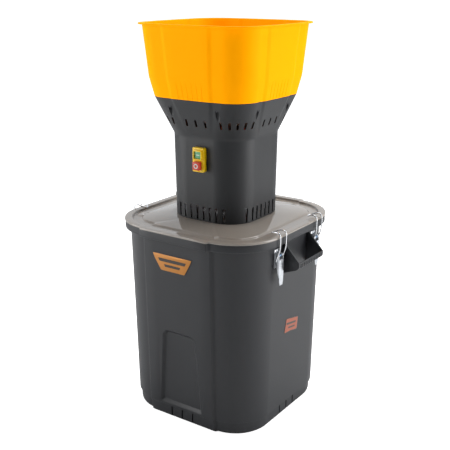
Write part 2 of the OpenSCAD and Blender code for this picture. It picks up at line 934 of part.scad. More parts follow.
module latch_lever(k) {
    web_top = 412.5;
    color(zinc)
    at_latch(k)
    difference() {
        union() {
            // Web, tapering towards its rounded foot.
            translate([lever_face - lever_t, 0, 0])
                rotate([90, 0, 90])
                    linear_extrude(lever_t)
                        polygon([
                            [-9.4, web_top], [-9.4, 395], [-7.5, lever_foot + 8], [-5.5, lever_foot],
                            [5.5, lever_foot], [7.5, lever_foot + 8], [9.4, 395], [9.4, web_top]
                        ]);
            for (y = [-cheek_y - lever_t, cheek_y])
                plate_xz(y, lever_t, [
                    [lever_face - eps, web_top], [lever_face - eps, 374], [lever_face - lever_t, 372],
                    [bail_x - 2.6, bail_z - 4], [bail_x - 3.4, bail_z], [pin_x - 3.6, pin_z - 2],
                    [pin_x - 3.4, pin_z + 2.5], [pin_x, pin_z + 4], [pin_x + 3.4, pin_z + 2.5]
                ]);
        }
        translate([pin_x, -20, pin_z]) rotate([-90, 0, 0]) cylinder(r = 2.06, h = 40);
        translate([bail_x, -20, bail_z]) rotate([-90, 0, 0]) cylinder(r = wire_d / 2 + 0.06, h = 40);
    }
}

// Round wire swept along points that lie in planes of constant y, mitred at each bend.
wire_sides = 12;

function wire_ring(points, i) =
    let (n = len(points),
         before = points[max(0, i - 1)],
         after = points[min(n - 1, i + 1)],
         d = (after - before) / norm(after - before),
         side = cross([0, 1, 0], d) / norm(cross([0, 1, 0], d)),
         up = cross(d, side))
    [for (k = [0:wire_sides - 1])
        points[i] + wire_d / 2 * (cos(360 * k / wire_sides) * side + sin(360 * k / wire_sides) * up)];

module swept_wire(points) {
    m = len(points);
    n = wire_sides;
    rings = [for (i = [0:m - 1]) wire_ring(points, i)];
    walls = [for (i = [0:m - 2], f = strip(i, i + 1, n)) f];
    first = [for (k = [0:n - 1]) k];
    last = [for (k = [n - 1:-1:0]) (m - 1) * n + k];
    polyhedron([for (r = rings, p = r) p], concat(walls, [first, last]), convexity = 6);
}

hook_z = lid_top + 1.4 + wire_d / 2;

function bail_path(s) = [
    [bail_x - 0.2, s * arm_y, bail_z - 0.8], [203.2, s * arm_y, 437], [204, s * arm_y, 464],
    [203, s * arm_y, 470], [200, s * arm_y, 474], [194, s * (arm_y - 0.5), 475.2],
    [186, s * (arm_y - 2), 473.2], [hook_x, s * (arm_y - 5), hook_z]
];

stub_in = 7.7;
stub_out = 12.8;

module latch_bail(k) {
    color(zinc)
    at_latch(k) {
        for (s = [-1, 1]) {
            swept_wire(bail_path(s));
            translate([bail_x, s * (stub_in + stub_out) / 2, bail_z])
                rotate([90, 0, 0]) cylinder(d = wire_d, h = stub_out - stub_in, center = true);
        }
        translate([hook_x, 0, hook_z])
            rotate([90, 0, 0]) cylinder(d = wire_d + 0.1, h = 2 * arm_y - 7, center = true);
    }
}

// ---------- badge and label ----------
module badge() {
    color([0.8, 0.53, 0.22])
    on_front(-0.05, 1.2)
        polygon([[-66, 411], [-60, 398], [-43, 372], [23, 372], [38, 398], [44, 411]]);
}

module side_label() {
    color([0.75, 0.3, 0.15])
    rotate(90)
    translate([0, -bin_half(0), 0])
        rotate([90 + atan(bin_taper), 0, 0])
            translate([0, 0, 0.05])
                linear_extrude(0.5)
                    polygon([[-32, 214], [-24, 250], [4, 244], [31, 238], [26, 206], [-4, 212]]);
}

bin();
bin_rim();
bin_handle_right();
bin_handle_left();
lid();
lid_gasket();
motor_housing();
hopper();
hopper_screws();
feed_shutter();
shutter_guides();
feed_chute();
head_bolts();
switch_base();
start_button();
stop_button();
cable_gland();
motor_plate();
lower_end_shield();
lower_bearing();
cooling_fan();
stator_core();
field_coils();
armature();
commutator();
brush_holders();
upper_bearing();
upper_end_shield();
tie_rods();
motor_shaft();
sieve_ring();
chamber_floor();
chamber_studs();
wing_nuts();
mill_blade();
blade_hub();
blade_nut();
latch_bracket(0);  // latch_bracket_1
latch_bracket(1);  // latch_bracket_2
latch_bracket(2);  // latch_bracket_3
latch_bracket(3);  // latch_bracket_4
latch_rivets();
latch_pins();
latch_lever(0);  // latch_lever_1
latch_lever(1);  // latch_lever_2
latch_lever(2);  // latch_lever_3
latch_lever(3);  // latch_lever_4
latch_bail(0);  // latch_bail_1
latch_bail(1);  // latch_bail_2
latch_bail(2);  // latch_bail_3
latch_bail(3);  // latch_bail_4
badge();
side_label();
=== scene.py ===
"""Electric grain mill on a square feed bin: the looks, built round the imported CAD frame.

Lengths in the tables are millimetres and every piece is made in the row frame: +Z up, the front
(switch and badge) faces -Y, the handles and latches are on the +X and -X sides.
"""

import json
import math

import bmesh
import bpy
import numpy as np
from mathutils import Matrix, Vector


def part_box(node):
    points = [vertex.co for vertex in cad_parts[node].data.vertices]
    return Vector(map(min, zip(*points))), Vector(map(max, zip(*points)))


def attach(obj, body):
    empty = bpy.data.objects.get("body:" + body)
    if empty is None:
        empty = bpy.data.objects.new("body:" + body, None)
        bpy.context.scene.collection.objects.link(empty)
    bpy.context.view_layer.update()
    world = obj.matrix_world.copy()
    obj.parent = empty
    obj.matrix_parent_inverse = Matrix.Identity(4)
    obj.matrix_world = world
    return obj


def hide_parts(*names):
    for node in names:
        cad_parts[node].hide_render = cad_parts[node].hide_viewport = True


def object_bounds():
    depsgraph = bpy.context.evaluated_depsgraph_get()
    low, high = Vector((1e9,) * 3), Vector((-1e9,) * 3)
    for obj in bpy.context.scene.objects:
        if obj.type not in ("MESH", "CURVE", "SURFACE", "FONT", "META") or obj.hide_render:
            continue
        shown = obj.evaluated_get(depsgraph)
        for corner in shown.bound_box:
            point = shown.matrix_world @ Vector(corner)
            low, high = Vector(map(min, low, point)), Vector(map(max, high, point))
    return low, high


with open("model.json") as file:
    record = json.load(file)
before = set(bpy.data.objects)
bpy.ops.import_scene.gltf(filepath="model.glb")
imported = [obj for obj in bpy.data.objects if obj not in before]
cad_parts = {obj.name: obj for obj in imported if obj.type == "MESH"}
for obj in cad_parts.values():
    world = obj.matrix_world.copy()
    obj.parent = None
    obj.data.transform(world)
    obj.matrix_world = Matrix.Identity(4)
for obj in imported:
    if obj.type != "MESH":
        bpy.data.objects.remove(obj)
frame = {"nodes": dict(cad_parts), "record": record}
cad_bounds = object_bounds()

MM = 0.001
SCENE = bpy.context.scene
HEAD = "bin_and_head"
LEFT_OUT = set()


def high(node, axis):
    """Highest coordinate of a CAD node in millimetres."""
    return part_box(node)[1][axis] / MM


def low(node, axis):
    """Lowest coordinate of a CAD node in millimetres."""
    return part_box(node)[0][axis] / MM


# ---------------------------------------------------------------- mesh tools


def new_object(name, verts, faces, sharp=35):
    """A mesh object from points in millimetres, with its normals outward and smooth up to the sharp angle."""
    mesh = bpy.data.meshes.new(name)
    mesh.from_pydata([tuple(float(c) * MM for c in v) for v in verts], [], faces)
    bm = bmesh.new()
    bm.from_mesh(mesh)
    bmesh.ops.recalc_face_normals(bm, faces=bm.faces)
    bm.to_mesh(mesh)
    bm.free()
    obj = bpy.data.objects.new(name, mesh)
    SCENE.collection.objects.link(obj)
    shade(obj, sharp)
    return obj


def shade(obj, sharp=35):
    """Smooth shading with edges sharper than the angle kept crisp."""
    mesh = obj.data
    mesh.polygons.foreach_set("use_smooth", [True] * len(mesh.polygons))
    mesh.set_sharp_from_angle(angle=math.radians(sharp))
    mesh.update()


def applied(obj):
    """Replaces the object's mesh by what its modifiers make of it."""
    bpy.context.view_layer.update()
    graph = bpy.context.evaluated_depsgraph_get()
    mesh = bpy.data.meshes.new_from_object(obj.evaluated_get(graph))
    obj.modifiers.clear()
    obj.data = mesh
    return obj


def boolean(obj, tool, operation="DIFFERENCE", sharp=35):
    """Cuts or joins with an exact boolean and drops the tool."""
    modifier = obj.modifiers.new("boolean", "BOOLEAN")
    modifier.operation = operation
    modifier.solver = "EXACT"
    modifier.object = tool
    applied(obj)
    bpy.data.objects.remove(tool)
    shade(obj, sharp)
    return obj


def bevel_edges(obj, width, segments, angle):
    """Adds a bevel on the edges that are sharper than the angle."""
    modifier = obj.modifiers.new("edges", "BEVEL")
    modifier.width = width * MM
    modifier.segments = segments
    modifier.limit_method = "ANGLE"
    modifier.angle_limit = math.radians(angle)


def bevelled(obj, width, segments=2):
    """Rounds the edges of a made piece and keeps the result as its mesh."""
    bevel_edges(obj, width, segments, 30)
    applied(obj)
    shade(obj)
    return obj


def joined(name, parts, sharp=35):
    """One object from several, with their meshes side by side."""
    bm = bmesh.new()
    for part in parts:
        bm.from_mesh(part.data)
    mesh = bpy.data.meshes.new(name)
    bm.to_mesh(mesh)
    bm.free()
    for part in parts:
        bpy.data.objects.remove(part)
    obj = bpy.data.objects.new(name, mesh)
    SCENE.collection.objects.link(obj)
    shade(obj, sharp)
    return obj


PLANES = {
    "xz": lambda u, v, w: (u, w, v),
    "yz": lambda u, v, w: (w, u, v),
    "xy": lambda u, v, w: (u, v, w),
}


def prism(name, points, start, end, plane="xz"):
    """A flat outline pulled along the third axis from start to end."""
    put = PLANES[plane]
    n = len(points)
    verts = [put(u, v, start) for u, v in points] + [put(u, v, end) for u, v in points]
    faces = [list(range(n)), list(range(n, 2 * n))]
    faces += [[i, (i + 1) % n, n + (i + 1) % n, n + i] for i in range(n)]
    return new_object(name, verts, faces)


def rectangle(left, right, low_edge, high_edge):
    """The four corners of a rectangle, anticlockwise from its low left one."""
    return [(left, low_edge), (right, low_edge), (right, high_edge), (left, high_edge)]


def block(name, lo, hi):
    """A box between two corners."""
    return prism(name, rectangle(lo[0], hi[0], lo[1], hi[1]), lo[2], hi[2], "xy")


def disc(name, centre, radius, start, end, plane="xy", sides=40):
    """A round bar along the plane's third axis."""
    outline = []
    for i in range(sides):
        f = 2 * math.pi * i / sides
        outline.append((centre[0] + radius * math.cos(f), centre[1] + radius * math.sin(f)))
    return prism(name, outline, start, end, plane)


def round_turn(steps):
    """Evenly spaced angles once round, the last one short of the first."""
    return np.linspace(0, 2 * math.pi, steps, endpoint=False)


def eased(start, corner, end, steps):
    """Points on the quadratic curve from start to end that the corner pulls on."""
    for t in np.linspace(0, 1, steps + 1):
        yield tuple((1 - t) ** 2 * start + 2 * t * (1 - t) * corner + t * t * end)


def rounded_outline(points, radii, steps=5):
    """A polygon with each corner replaced by an arc-like curve that starts radius away from it."""
    out = []
    n = len(points)
    for i in range(n):
        p = np.array(points[i], float)
        r = radii[i] if isinstance(radii, (list, tuple)) else radii
        if r <= 0:
            out.append(tuple(p))
            continue
        before, after = np.array(points[i - 1], float), np.array(points[(i + 1) % n], float)
        start = p + (before - p) * min(0.49, r / np.linalg.norm(before - p))
        end = p + (after - p) * min(0.49, r / np.linalg.norm(after - p))
        out += eased(start, p, end, steps)
    return out


def lofted(name, rings, closed=False, sharp=35):
    """Quads between rings of equal length. Open lofts are capped at both ends."""
    n, m = len(rings[0]), len(rings)
    verts = [p for ring in rings for p in ring]
    faces = []
    for i in range(m if closed else m - 1):
        j = (i + 1) % m
        faces += [[i * n + k, j * n + k, j * n + (k + 1) % n, i * n + (k + 1) % n] for k in range(n)]
    if not closed:
        faces += [list(range(n)), list(range((m - 1) * n, m * n))]
    return new_object(name, verts, faces, sharp)


# A level is (z, a, q, px, py, c, w, dy): half width a, corner centre q, the sides' flats proud by px and
# py over a half length c with a soft crease w either side of it, and the whole ring moved by dy.
FLAT_STEPS, CREASE_STEPS, ARC_STEPS = 3, 8, 12


def half_side(a, q, proud, c, w):
    """(out, along) from the middle of a side to the corner's diagonal."""
    r = a - q
    along = list(np.linspace(0, c - w, FLAT_STEPS + 1))
    along += list(np.linspace(c - w, c + w, CREASE_STEPS + 1)[1:])
    out = []
    for s in along:
        t = min(1.0, max(0.0, (s - c + w) / (2 * w)))
        base = a if s <= q else q + math.sqrt(max(0.0, r * r - (s - q) ** 2))
        out.append(base + proud * (1 - t * t * (3 - 2 * t)))
    start = math.asin(min(0.7, max(0.0, (c + w - q) / r)))
    for f in np.linspace(start, math.pi / 4, ARC_STEPS + 2)[1:]:
        out.append(q + r * math.cos(f))
        along.append(q + r * math.sin(f))
    return list(zip(out, along))


def ring(level):
    """The closed outline of one level, as points at its height."""
    z, a, q, px, py, c, w, dy = level
    points = []
    for k, proud in enumerate((px, py, px, py)):
        half = half_side(a, q, proud, c, w)
        side = [(o, -s) for o, s in reversed(half[1:])] + half[:-1]
        for o, s in side:
            x, y = ((o, s), (-s, o), (-o, -s), (s, -o))[k]
            points.append((x, y + dy, z))
    return points


def softened(levels, radii, steps=3):
    """Levels with the profile's corners replaced by short curves, radius by radius."""
    out = []
    n = len(levels)
    for i, level in enumerate(levels):
        here = np.array(level, float)
        r = radii[i]
        if r <= 0:
            out.append(tuple(here))
            continue
        before, after = np.array(levels[i - 1], float), np.array(levels[(i + 1) % n], float)
        start = here + (before - here) * min(0.48, r / math.hypot(*(before - here)[:2]))
        end = here + (after - here) * min(0.48, r / math.hypot(*(after - here)[:2]))
        out += eased(start, here, end, steps)
    return out


def wire(name, path, radius, sides=14):
    """A round wire along a path of points, capped at both ends."""
    points = [np.array(p, float) for p in path]
    tangents = []
    for i in range(len(points)):
        d = points[min(i + 1, len(points) - 1)] - points[max(i - 1, 0)]
        tangents.append(d / np.linalg.norm(d))
    normal = np.cross(tangents[0], (0.3, 0.2, 0.93))
    normal /= np.linalg.norm(normal)
    rings = []
    for p, d in zip(points, tangents):
        normal = normal - d * normal.dot(d)
        normal /= np.linalg.norm(normal)
        side = np.cross(d, normal)
        rings.append(
            [tuple(p + radius * (math.cos(f) * normal + math.sin(f) * side)) for f in round_turn(sides)]
        )
    return lofted(name, rings, sharp=60)


def bent_path(points, radii, steps=7):
    """A polyline in space with its corners rounded."""
    out = [points[0]]
    for i in range(1, len(points) - 1):
        p, before, after = (np.array(points[j], float) for j in (i, i - 1, i + 1))
        start = p + (before - p) * min(0.45, radii[i] / np.linalg.norm(before - p))
        end = p + (after - p) * min(0.45, radii[i] / np.linalg.norm(after - p))
        out += eased(start, p, end, steps)
    return out + [points[-1]]


def turned(obj, angle=0.0, move=(0, 0, 0)):
    """Turns the mesh about Z by degrees, then moves it by millimetres."""
    c, s = math.cos(math.radians(angle)), math.sin(math.radians(angle))
    co = np.empty(len(obj.data.vertices) * 3)
    obj.data.vertices.foreach_get("co", co)
    co = co.reshape(-1, 3)
    x = co[:, 0] * c - co[:, 1] * s + move[0] * MM
    y = co[:, 0] * s + co[:, 1] * c + move[1] * MM
    co[:, 0], co[:, 1] = x, y
    co[:, 2] += move[2] * MM
    obj.data.vertices.foreach_set("co", co.ravel())
    obj.data.update()
    return obj


# ---------------------------------------------------------------- materials


def finish(
    name,
    colour,
    rough,
    metallic=0.0,
    mottle=0.08,
    mottle_scale=14.0,
    grain_scale=900.0,
    grain=0.03,
    rough_spread=0.06,
    specular=0.5,
    streak=None,
    glow=None,
):
    """A procedural finish: cloudy colour, fine grain in the surface and uneven gloss.

    streak stretches the grain along one axis, as (x, y, z) scales, for rolled or brushed metal.
    glow is (r, g, b, strength): painted light, an emitted glow that brightens the plastic though it is no
    lamp."""
    material = bpy.data.materials.new(name)
    material.use_nodes = True
    nodes, links = material.node_tree.nodes, material.node_tree.links
    shader = nodes["Principled BSDF"]
    shader.inputs["Metallic"].default_value = metallic
    shader.inputs["Specular IOR Level"].default_value = specular
    if glow:
        shader.inputs["Emission Color"].default_value = (*glow[:3], 1)
        shader.inputs["Emission Strength"].default_value = glow[3]
    place = nodes.new("ShaderNodeTexCoord")
    stretch = nodes.new("ShaderNodeMapping")
    stretch.inputs["Scale"].default_value = streak or (1, 1, 1)
    links.new(place.outputs["Object"], stretch.inputs["Vector"])

    cloud = nodes.new("ShaderNodeTexNoise")
    cloud.inputs["Scale"].default_value = mottle_scale
    cloud.inputs["Detail"].default_value = 5
    cloud.inputs["Roughness"].default_value = 0.6
    links.new(place.outputs["Object"], cloud.inputs["Vector"])
    tone = nodes.new("ShaderNodeValToRGB")
    tone.color_ramp.elements[0].position = 0.3
    tone.color_ramp.elements[1].position = 0.7
    tone.color_ramp.elements[0].color = (*(c * (1 - mottle) for c in colour), 1)
    tone.color_ramp.elements[1].color = (*(min(1.0, c * (1 + mottle)) for c in colour), 1)
    links.new(cloud.outputs["Fac"], tone.inputs["Fac"])
    links.new(tone.outputs["Color"], shader.inputs["Base Color"])

    fine = nodes.new("ShaderNodeTexNoise")
    fine.inputs["Scale"].default_value = grain_scale
    fine.inputs["Detail"].default_value = 3
    links.new(stretch.outputs["Vector"], fine.inputs["Vector"])
    bump = nodes.new("ShaderNodeBump")
    bump.inputs["Strength"].default_value = grain
    bump.inputs["Distance"].default_value = 0.0004
    links.new(fine.outputs["Fac"], bump.inputs["Height"])
    links.new(bump.outputs["Normal"], shader.inputs["Normal"])

    gloss = nodes.new("ShaderNodeMapRange")
    gloss.inputs["To Min"].default_value = max(0.02, rough - rough_spread)
    gloss.inputs["To Max"].default_value = min(1.0, rough + rough_spread)
    links.new(fine.outputs["Fac"], gloss.inputs["Value"])
    links.new(gloss.outputs["Result"], shader.inputs["Roughness"])
    return material


FINISHES = {
    "bin": finish(
        "charcoal_bin", (0.018, 0.019, 0.022), 0.47,
        grain=0.16, grain_scale=1500, mottle=0.05, specular=0.46,
    ),
    "motor_housing": finish(
        "charcoal_housing", (0.015, 0.016, 0.018), 0.47,
        grain=0.16, grain_scale=1500, mottle=0.05, specular=0.44,
    ),
    "lid": finish(
        "lid_plastic", (0.285, 0.252, 0.218), 0.05, grain=0.0, mottle=0.03, rough_spread=0.01, specular=0.9
    ),
    "lid_gasket": finish("gasket_rubber", (0.016, 0.016, 0.016), 0.75, grain=0.2, grain_scale=600),
    # Painted light: the amber hopper is given an orange emission glow that brightens it.
    "hopper": finish(
        "amber_plastic", (1.0, 0.37, 0.0), 0.5, grain=0.05, mottle=0.02, rough_spread=0.05, specular=0.015,
        glow=(1.0, 0.33, 0.0, 0.30),
    ),
    "screw_steel": finish("screw_plate", (0.46, 0.47, 0.48), 0.32, 1.0, grain=0.15, rough_spread=0.1),
    # Painted shade: the hopper screws get a near-black finish for the shade inside the wells they sit in.
    "hopper_screws": finish("screw_painted_shade", (0.05, 0.05, 0.055), 0.55, 0.6, grain=0.2),
    "feed_shutter": finish("shutter_steel", (0.55, 0.56, 0.58), 0.3, 1.0, grain=0.2, streak=(0.05, 1, 1)),
    "shutter_guides": finish("guide_plastic", (0.03, 0.03, 0.033), 0.5, grain=0.15),
    "feed_chute": finish("chute_plastic", (0.16, 0.17, 0.18), 0.5, grain=0.12),
    "switch_base": finish("switch_yellow", (0.95, 0.60, 0.0), 0.30, grain=0.04, mottle=0.02),
    "start_button": finish("button_green", (0.13, 0.42, 0.20), 0.32, grain=0.05, mottle=0.04),
    "stop_button": finish("button_red", (0.62, 0.055, 0.03), 0.30, grain=0.05, mottle=0.04),
    "cable_gland": finish("black_nylon", (0.018, 0.018, 0.019), 0.45, grain=0.12),
    "sheet_steel": finish("rolled_sheet", (0.50, 0.51, 0.53), 0.34, 1.0, grain=0.2, streak=(1, 0.06, 1)),
    "shield_aluminium": finish("cast_aluminium", (0.58, 0.59, 0.61), 0.5, 1.0, grain=0.5, grain_scale=500),
    "bearing_steel": finish("ground_steel", (0.62, 0.62, 0.64), 0.15, 1.0, grain=0.03),
    "cooling_fan": finish("fan_nylon", (0.55, 0.52, 0.43), 0.45, grain=0.08),
    "stator_core": finish("varnished_core", (0.09, 0.09, 0.10), 0.35, 0.4, grain=0.3, streak=(0.05, 0.05, 3)),
    "field_coils": finish(
        "red_windings", (0.60, 0.06, 0.03), 0.35, grain=0.9, grain_scale=400, streak=(0.3, 0.3, 3)
    ),
    "armature": finish("armature_core", (0.16, 0.13, 0.10), 0.4, 0.5, grain=0.4, streak=(0.1, 0.1, 3)),
    "commutator": finish("copper_bars", (0.66, 0.33, 0.18), 0.3, 1.0, grain=0.2),
    "brush_holders": finish("brush_moulding", (0.03, 0.025, 0.02), 0.5, grain=0.1),
    "shaft_steel": finish("turned_steel", (0.45, 0.46, 0.48), 0.25, 1.0, grain=0.15, streak=(0.1, 0.1, 4)),
    "wing_nuts": finish("cast_brass", (0.62, 0.48, 0.22), 0.4, 1.0, grain=0.3),
    "mill_blade": finish("hard_steel", (0.40, 0.41, 0.43), 0.3, 1.0, grain=0.25, streak=(0.06, 1, 1)),
    "latch_zinc": finish(
        "zinc_plate", (0.60, 0.62, 0.65), 0.30, 1.0, grain=0.15, mottle=0.10, mottle_scale=60
    ),
    "latch_pins": finish(
        "blue_zinc", (0.16, 0.23, 0.33), 0.34, 1.0, grain=0.15, mottle=0.12, mottle_scale=60
    ),
    "latch_wire": finish(
        "zinc_wire", (0.72, 0.73, 0.75), 0.22, 1.0, grain=0.1, mottle=0.08, mottle_scale=60
    ),
    "badge": finish(
        "badge_orange", (0.50, 0.20, 0.035), 0.30, 0.35, grain=0.08, mottle=0.08, mottle_scale=40
    ),
    "side_label": finish(
        "label_film", (0.34, 0.075, 0.03), 0.35, grain=0.05, mottle=0.06, mottle_scale=60
    ),
}
DARK_PRINT = finish("dark_print", (0.035, 0.025, 0.018), 0.35, grain=0.05)
PALE_PRINT = finish("pale_print", (0.62, 0.66, 0.60), 0.4, grain=0.05)


def settle(obj, body, slot, replaces=(), material=None):
    """Gives a piece its finish, its place on a body and the CAD nodes it stands for."""
    obj.data.materials.clear()
    obj.data.materials.append(material or FINISHES[slot])
    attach(obj, body)
    if replaces:
        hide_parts(*replaces)
    LEFT_OUT.update(replaces)
    return obj


# ---------------------------------------------------------------- bin

BIN_TOP = high("bin", 2)
BIN_A = high("bin", 0)
BIN_PANEL = high("bin", 1) - BIN_A
BAND_A = high("bin_rim", 0)
BAND_Z = 444
TAPER = 0.0216
BASE_H = 32
BASE_STEP = 4.5
BIN_WALL = 3.5
BIN_Q = 87.5
PANEL_DEPTH = 6
GRIP_LOW, GRIP_TOP = 383.5, 401


def bin_half(z):
    """Half width of the leaning wall at height z."""
    return BIN_A - TAPER * (BIN_TOP - z)


LEAN = math.atan(TAPER)
FACE_Y = bin_half(0) + BIN_PANEL


def on_face(x, h, depth, turn=0):
    """A point drawn on the leaning front face, sunk by depth. turn 1 is the back."""
    y = -FACE_Y - math.sin(LEAN) * h + math.cos(LEAN) * depth
    z = math.cos(LEAN) * h + math.sin(LEAN) * depth
    return (x, y, z) if turn == 0 else (-x, -y, z)


def panel_outline(grow):
    """The sunken panel: wide foot, narrower rounded head."""
    foot, head, low_z, high_z, r = 59, 46, 39, 227, 18
    edge, base = foot + grow, low_z - grow
    right = [(edge - 3, base), (edge - 0.8, base + 0.8), (edge, base + 3)]
    for f in np.linspace(math.radians(4.5), math.pi / 2, 12):
        right.append((head - r + (r + grow) * math.cos(f), high_z - r + (r + grow) * math.sin(f)))
    return right + [(-x, h) for x, h in reversed(right)]


def panel_tool(turn):
    """The cutter of one sunken panel, with a soft edge and a sloped side."""
    profile = [(-3, 3.4), (-0.2, 1.1), (0.25, 0.4), (0.8, -0.5), (1.4, -1.4)]
    profile += [(5.0, -5.0), (5.5, -5.6), (5.85, -6.4), (PANEL_DEPTH, -7.4)]
    rings = [[on_face(x, h, depth, turn) for x, h in panel_outline(grow)] for depth, grow in profile]
    return lofted("panel_tool", rings)


def panel_backing(turn):
    """Material behind the sunken panel, so that the wall stays whole."""
    depths = (1.6, PANEL_DEPTH + BIN_WALL)
    rings = [[on_face(x, h, depth, turn) for x, h in panel_outline(0)] for depth in depths]
    return lofted("panel_backing", rings)


def make_bin():
    """Walls, base band, rim band, two sunken panels and the notches at the foot."""
    q, p, c, w = BIN_Q, BIN_PANEL, 92, 3
    base_a = bin_half(BASE_H) - BASE_STEP
    levels = [
        (0, base_a - 6, q, 0, p, c, w, 0),
        (3, base_a - 2, q, 0, p, c, w, 0),
        (8, base_a, q, 0, p, c, w, 0),
        (BASE_H - 0.6, base_a, q, 0, p, c, w, 0),
        (BASE_H, base_a + BASE_STEP, q, 0, p, c, w, 0),
        (240, bin_half(240), q, 0, p, c, w, 0),
        (BAND_Z - 1.5, bin_half(BAND_Z), q, 0, p, c, w, 0),
        (BAND_Z, BAND_A - 1, q + 1, 0, p + 1.5, c, w, 0),
        (BAND_Z + 2, BAND_A, q + 1, 0, p + 1.5, c, w, 0),
        (BIN_TOP, BAND_A, q + 1, 0, p + 1.5, c, w, 0),
        (BIN_TOP, bin_half(BIN_TOP) - BIN_WALL, q, 0, p, c, w, 0),
        (BASE_H + 2, bin_half(BASE_H) - BIN_WALL, q, 0, p, c, w, 0),
        (BASE_H - 2, base_a - BIN_WALL, q, 0, p, c, w, 0),
        (9, base_a - BIN_WALL, q, 0, p, c, w, 0),
        (5, base_a - BIN_WALL - 4, q, 0, p, c, w, 0),
    ]
    radii = [0, 1.5, 3, 0.5, 0.9, 0, 1.2, 0.7, 0.9, 0.5, 0, 1, 1, 2, 0]
    shell = lofted("bin_shell", [ring(level) for level in softened(levels, radii)])
    for turn in (0, 1):
        boolean(shell, panel_backing(turn), "UNION")
    tools = [panel_tool(0), panel_tool(1)]
    for k in range(4):
        for x in (-30, 0, 30):
            y = -(base_a + p + (0 if k % 2 == 0 else -p))
            notch = block("notch", (x - 2, y - 6, -2), (x + 2, y + 3.2, BASE_H - 4))
            tools.append(turned(notch, 90 * k))
    boolean(shell, joined("bin_tools", tools), "DIFFERENCE", sharp=28)
    return settle(shell, HEAD, "bin", ["bin", "bin_rim"])


def make_handle(side):
    """Two solid cheeks, a curled grip bar and its ribs."""
    hand = "right" if side > 0 else "left"
    foot_x = bin_half(400) - 1.0
    out_x = high("bin_handle_right", 0) - 1
    half = high("bin_handle_right", 1)
    cheek_t, cheek_low, cheek_top = 4, 370, BAND_Z - 1.8
    knuckle = [(out_x - 6, GRIP_LOW + 1), (out_x, GRIP_LOW + 7), (out_x, GRIP_TOP)]
    cheek = [(foot_x, cheek_low)] + knuckle + [(bin_half(440) + 4, cheek_top), (foot_x, cheek_top)]
    cheek = rounded_outline(cheek, [0, 3, 3, 1.2, 0, 0])
    parts = [prism("cheek", cheek, s * half, s * (half - cheek_t)) for s in (-1, 1)]
    bar = knuckle + [
        (out_x - 3, GRIP_TOP), (out_x - 5, GRIP_LOW + 9), (out_x - 12, GRIP_LOW + 6), (out_x - 12, GRIP_LOW),
    ]
    bar = rounded_outline(bar, [3, 3, 1, 1, 2.5, 1, 1])
    reach = half - cheek_t + 0.02
    parts.append(prism("bar", bar, -reach, reach))
    parts = [bevelled(part, 0.7, 2) for part in parts]
    for i in range(-6, 7):
        y = i * 7.6
        rib = block("rib", (out_x - 0.5, y - 1.2, GRIP_LOW + 6), (out_x + 0.95, y + 1.2, GRIP_TOP - 2.5))
        parts.append(bevelled(rib, 0.5, 2))
    handle = joined("handle_" + hand, parts)
    if side < 0:
        turned(handle, 180)
    return settle(handle, HEAD, "bin", ["bin_handle_" + hand])


# ---------------------------------------------------------------- lid

LID_A = high("lid", 0)
LID_PANEL = high("lid", 1) - LID_A
PLATEAU = high("lid", 2)
LID_TOP = PLATEAU - 5
LID_T = 3
LID_STEP_Q = BIN_Q + 0.5
RIM_W = 16.5
GROOVE = 5
FOOT_R = 92.6


def make_lid():
    """Rim, groove and plateau above, skirt and plug below, with four bolt holes."""
    q, p = 90, LID_PANEL
    rim_a, plug_a = LID_A - RIM_W, bin_half(BIN_TOP) - BIN_WALL - 0.3
    groove_z = LID_TOP - GROOVE
    levels = [
        (BIN_TOP + 0.05, LID_A, q, 0, p, 92, 3, 0),
        (LID_TOP, LID_A, q, 0, p, 92, 3, 0),
        (LID_TOP, rim_a, LID_STEP_Q, 0, p - 1.5, 90, 3, 0),
        (groove_z, rim_a - 2, LID_STEP_Q, 0, p - 1.5, 89, 3, 0),
        (groove_z, 159, 94, 0, p + 2, 88, 3, 0),
        (LID_TOP - 1, 155, 95, 0, p + 2, 86, 3, 0),
        (PLATEAU, 112, 45, 0, 3, 40, 3, 0),
        (PLATEAU, FOOT_R, 0, 0, 0, 10, 3, 0),
        (PLATEAU - LID_T, FOOT_R, 0, 0, 0, 10, 3, 0),
        (PLATEAU - LID_T, 110, 45, 0, 3, 40, 3, 0),
        (LID_TOP - 1 - LID_T, 153, 95, 0, p + 2, 86, 3, 0),
        (groove_z - LID_T, 157, 94, 0, p + 2, 88, 3, 0),
        (groove_z - LID_T, plug_a - 1, BIN_Q, 0, BIN_PANEL, 89, 3, 0),
        (LID_TOP - LID_T, plug_a, BIN_Q, 0, BIN_PANEL, 90, 3, 0),
        (LID_TOP - LID_T, LID_A - LID_T, q, 0, p, 92, 3, 0),
        (BIN_TOP + 0.05, LID_A - LID_T, q, 0, p, 92, 3, 0),
    ]
    radii = [0.3, 1.8, 1.2, 1.0, 1.0, 1.6, 2.0, 0.4, 0, 0, 1, 0.8, 0.8, 0.8, 0.8, 0]
    lid = lofted("lid_shell", [ring(level) for level in softened(levels, radii)], closed=True, sharp=50)
    at = (-72, 72)
    holes = [disc("hole", (x, y), 3.3, PLATEAU - 8, PLATEAU + 4) for x in at for y in at]
    boolean(lid, joined("lid_tools", holes), sharp=50)
    return settle(lid, HEAD, "lid", ["lid"])


# ---------------------------------------------------------------- motor housing

COL_A = 101
COL_TOP_A = 104
COLLAR_Z = 660
SEAM_Z = high("motor_housing", 2)
SEAM_PANEL = 3
SEAM_A = high("motor_housing", 0) - SEAM_PANEL
SEAM_Q = 74
COL_Q = 35
COL_WALL = 3
WELL_X, WELL_Y = 62, 122
WELL_R, SCREW_R, WELL_TOP = 5, 2.2, 726


